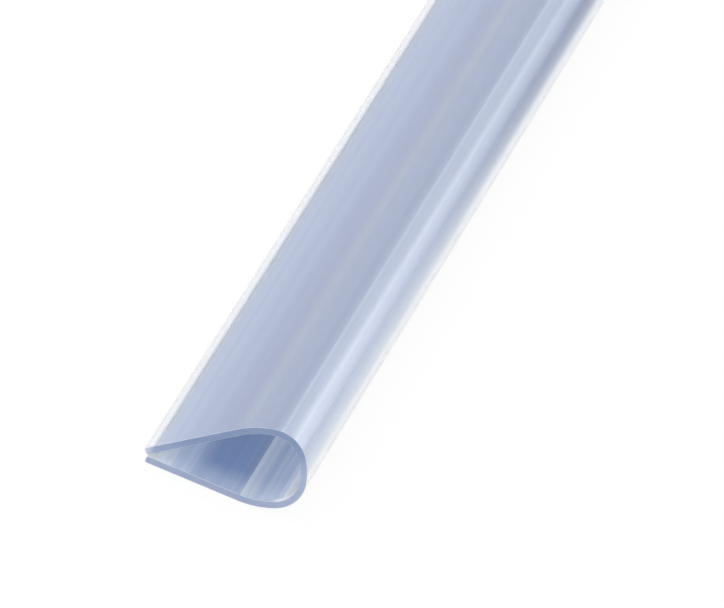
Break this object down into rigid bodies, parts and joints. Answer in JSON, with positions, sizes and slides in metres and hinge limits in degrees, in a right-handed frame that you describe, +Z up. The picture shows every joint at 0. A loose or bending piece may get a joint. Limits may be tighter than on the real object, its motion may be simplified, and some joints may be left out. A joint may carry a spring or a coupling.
{
  "type": "pvc clip channel",
  "caption": "Clear PVC channel stock of teardrop section: a springy strip bent to a rounded bulb with two straight flanks that close to a narrow lip and grip an edge pushed between them.",
  "frame": {"origin": "on the floor, below the middle of the piece as it lies on its lower flank", "axes": "+Y along the length, +Z up, -X towards the lips, +X towards the bulb"},
  "size_m": [0.0148, 1, 0.0082],
  "materials": {
    "clear_pvc": "smooth clear rigid PVC with a faint blue tint and fine lines along the extrusion"
  },
  "bodies": {
    "root": {"clip_profile": "clear_pvc"}
  },
  "joints": []
}
